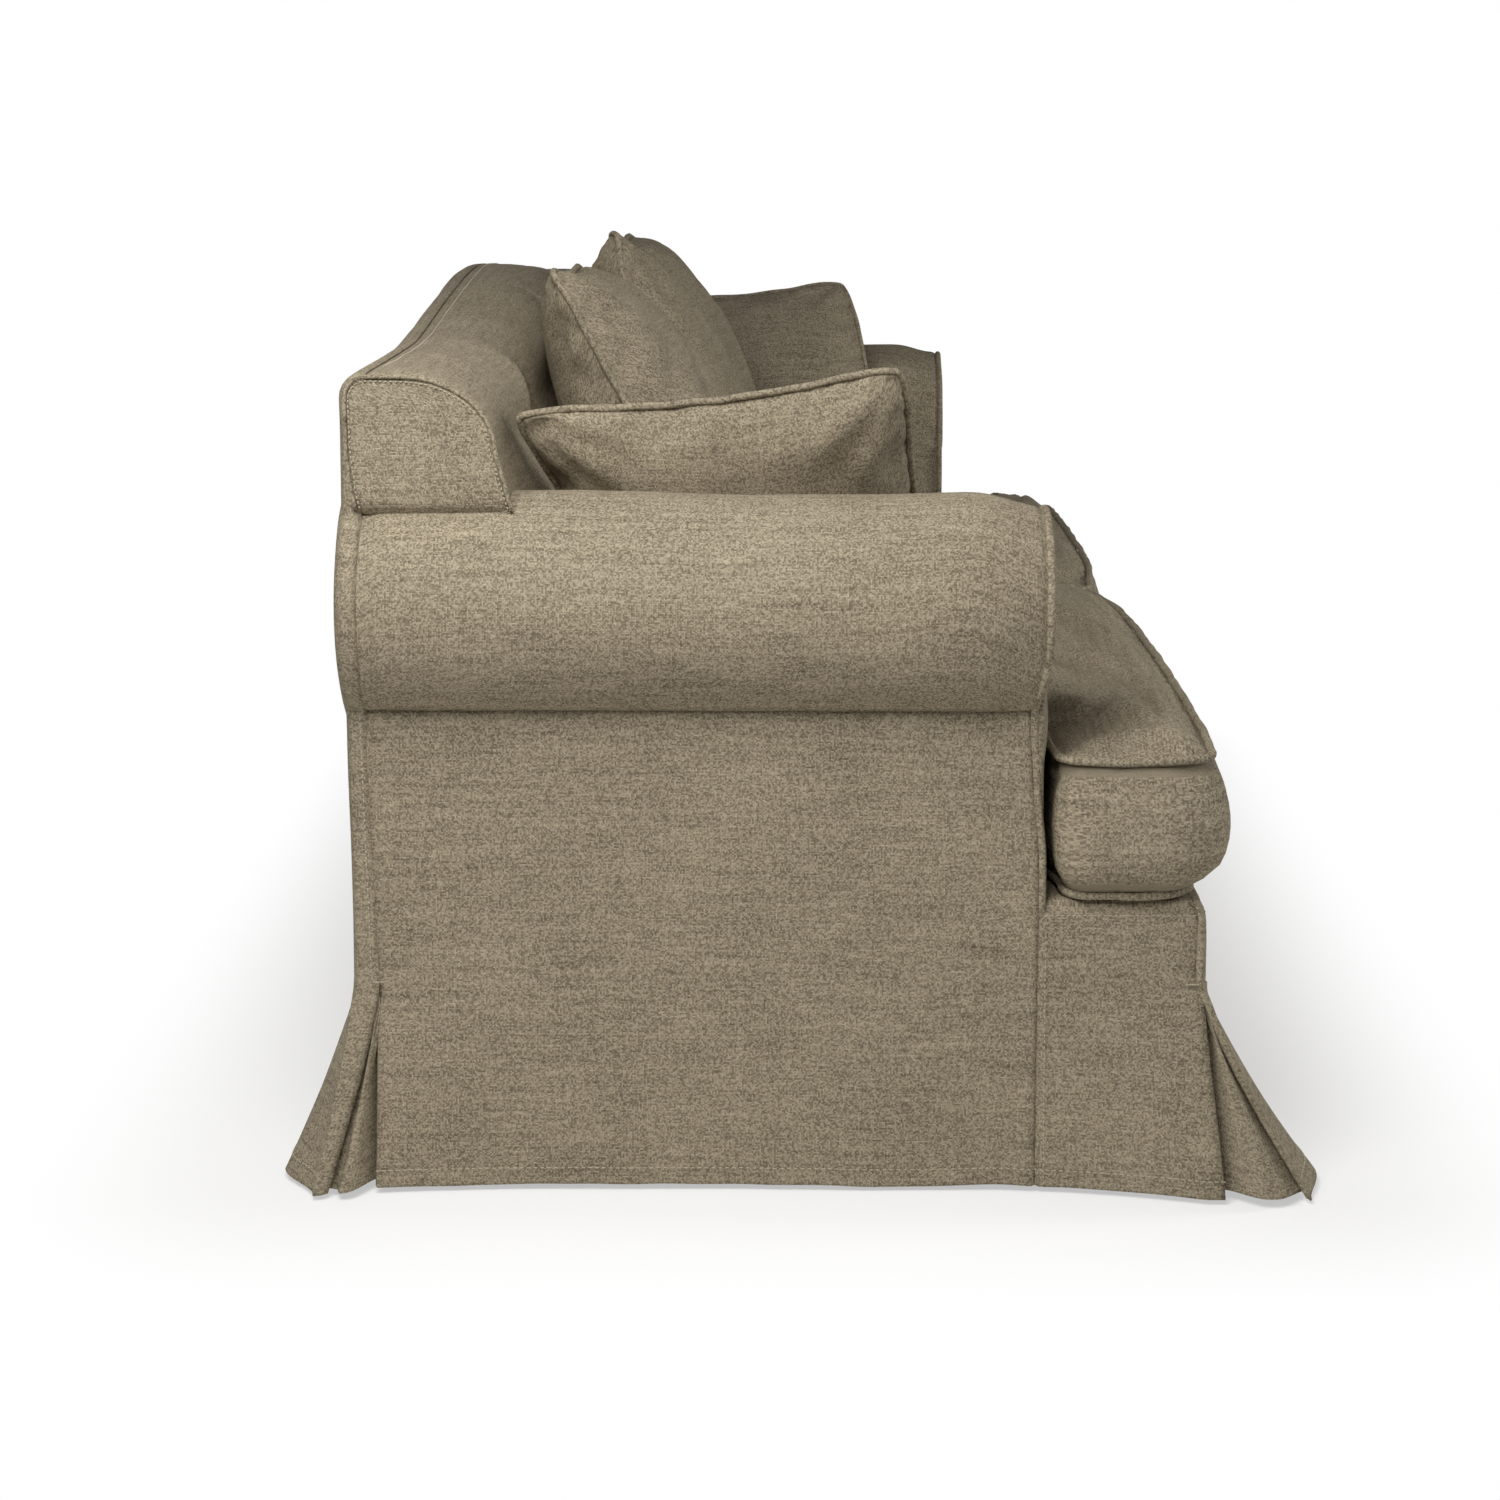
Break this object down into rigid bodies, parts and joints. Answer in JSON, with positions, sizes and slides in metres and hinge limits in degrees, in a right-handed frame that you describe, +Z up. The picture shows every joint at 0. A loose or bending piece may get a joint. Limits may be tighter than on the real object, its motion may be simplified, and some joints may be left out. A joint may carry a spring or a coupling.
{
  "type": "camelback sofa",
  "caption": "Slipcovered camelback sofa with rolled arms, T-shaped welted box cushions, scatter pillows and flared corner pleats; cushions pull out and pillows lift off.",
  "frame": {"origin": "on the floor, under the middle of the sofa's box", "axes": "+Z up; the sofa faces -Y; +X runs along it, to the right as seen from the front"},
  "size_m": [2.1988, 0.994, 0.8631],
  "materials": {
    "cover_linen": "matte",
    "cushion_linen": "matte",
    "pillow_linen": "matte",
    "platform_cloth": "matte",
    "padding": "matte",
    "timber": "matte",
    "spring_steel": "satin"
  },
  "bodies": {
    "sofa": {"front_panel": "cover_linen", "outside_back_panel": "cover_linen", "inside_back_cover": "cover_linen", "arm_cover_left": "cover_linen", "arm_cover_right": "cover_linen", "arm_facing_left": "cover_linen", "arm_facing_right": "cover_linen", "back_end_boxing_left": "cover_linen", "back_end_boxing_right": "cover_linen", "side_panel_left": "cover_linen", "side_panel_right": "cover_linen", "base_side_panel_left": "cover_linen", "base_side_panel_right": "cover_linen", "corner_gusset_front_left": "cover_linen", "corner_gusset_front_right": "cover_linen", "corner_gusset_rear_left": "cover_linen", "corner_gusset_rear_right": "cover_linen", "deck_cover": "platform_cloth", "deck_pad": "padding", "back_padding": "padding", "arm_padding_left": "padding", "arm_padding_right": "padding", "seat_rail_front": "timber", "seat_rail_rear": "timber", "seat_rail_centre": "timber", "seat_rail_left": "timber", "seat_rail_right": "timber", "corner_block_front_left": "timber", "corner_block_front_right": "timber", "corner_block_rear_left": "timber", "corner_block_rear_right": "timber", "foot_front_left": "timber", "foot_front_right": "timber", "foot_rear_left": "timber", "foot_rear_right": "timber", "foot_centre": "timber", "back_top_rail": "timber", "back_lower_rail": "timber", "back_post_centre": "timber", "back_post_left": "timber", "back_post_right": "timber", "arm_front_board_left": "timber", "arm_front_board_right": "timber", "arm_roll_former_left": "timber", "arm_roll_former_right": "timber", "arm_lower_rail_left": "timber", "arm_lower_rail_right": "timber", "seat_spring_1": "spring_steel", "seat_spring_2": "spring_steel", "seat_spring_3": "spring_steel", "seat_spring_4": "spring_steel", "seat_spring_5": "spring_steel", "seat_spring_6": "spring_steel"},
    "seat_cushion_left": {"seat_cushion_left": "cushion_linen"},
    "seat_cushion_right": {"seat_cushion_right": "cushion_linen"},
    "pillow_back_left": {"pillow_back_left": "pillow_linen"},
    "pillow_back_centre": {"pillow_back_centre": "pillow_linen"},
    "pillow_back_right": {"pillow_back_right": "pillow_linen"},
    "pillow_arm_left": {"pillow_arm_left": "pillow_linen"},
    "pillow_arm_right": {"pillow_arm_right": "pillow_linen"}
  },
  "joints": [
    {"name": "seat_cushion_left_pull_out", "type": "slide", "parent": "sofa", "child": "seat_cushion_left", "axis": [0, -1, 0], "range_m": [0, 0.65]},
    {"name": "pillow_back_left_lift", "type": "slide", "parent": "seat_cushion_left", "child": "pillow_back_left", "axis": [0, 0, 1], "range_m": [0, 0.4]},
    {"name": "pillow_arm_left_lift", "type": "slide", "parent": "seat_cushion_left", "child": "pillow_arm_left", "axis": [0, 0, 1], "range_m": [0, 0.4]},
    {"name": "seat_cushion_right_pull_out", "type": "slide", "parent": "sofa", "child": "seat_cushion_right", "axis": [0, -1, 0], "range_m": [0, 0.65]},
    {"name": "pillow_back_right_lift", "type": "slide", "parent": "seat_cushion_right", "child": "pillow_back_right", "axis": [0, 0, 1], "range_m": [0, 0.4]},
    {"name": "pillow_arm_right_lift", "type": "slide", "parent": "seat_cushion_right", "child": "pillow_arm_right", "axis": [0, 0, 1], "range_m": [0, 0.4]},
    {"name": "pillow_back_centre_lift", "type": "slide", "parent": "sofa", "child": "pillow_back_centre", "axis": [0, 0, 1], "range_m": [0, 0.4]}
  ]
}
